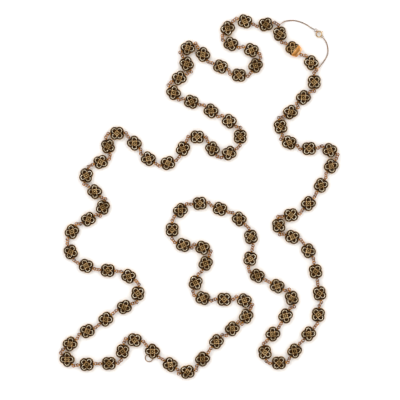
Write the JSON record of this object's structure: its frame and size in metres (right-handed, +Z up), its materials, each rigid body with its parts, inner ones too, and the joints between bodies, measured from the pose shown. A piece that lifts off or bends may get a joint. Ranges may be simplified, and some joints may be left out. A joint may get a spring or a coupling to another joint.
{
  "type": "sautoir necklace",
  "caption": "Long closed necklace of black enamel quatrefoil links joined by gold rings, with a box clasp and a safety chain, laid out in loose bights.",
  "frame": {"origin": "on the surface that the necklace lies on, under the middle of the laid-out loop's box", "axes": "+Z up from the surface; +Y along the long side of the laid-out loop, towards the clasp; +X to the right as seen from above"},
  "size_m": [0.2016, 0.262, 0.0029],
  "materials": {
    "enamelled_gold": "glossy black vitreous enamel with polished yellow gold lines and edges",
    "yellow_gold": "polished yellow gold",
    "rose_gold": "polished rose gold",
    "pale_gold": "polished pale gold"
  },
  "bodies": {
    "necklace": {"chain_right": "enamelled_gold", "chain_left": "enamelled_gold", "clasp_box": "enamelled_gold", "clasp_tongue": "yellow_gold", "hanging_ring": "yellow_gold", "safety_chain_left": "rose_gold", "safety_chain_right": "rose_gold", "safety_end_ring_left": "rose_gold", "safety_end_ring_right": "pale_gold", "bolt_jump_ring": "rose_gold", "bolt_entry_ring": "rose_gold", "bolt_ring": "pale_gold"},
    "latch": {"bolt_ring_latch": "yellow_gold"}
  },
  "joints": [
    {"name": "latch_slide", "type": "hinge", "parent": "necklace", "child": "latch", "pos_m": [0.08599, 0.11661, 0.00095], "axis": [0, 0, -1], "range_deg": [0, 46], "stiffness_Nm_per_rad": 0.001, "springref_deg": -22.92}
  ]
}
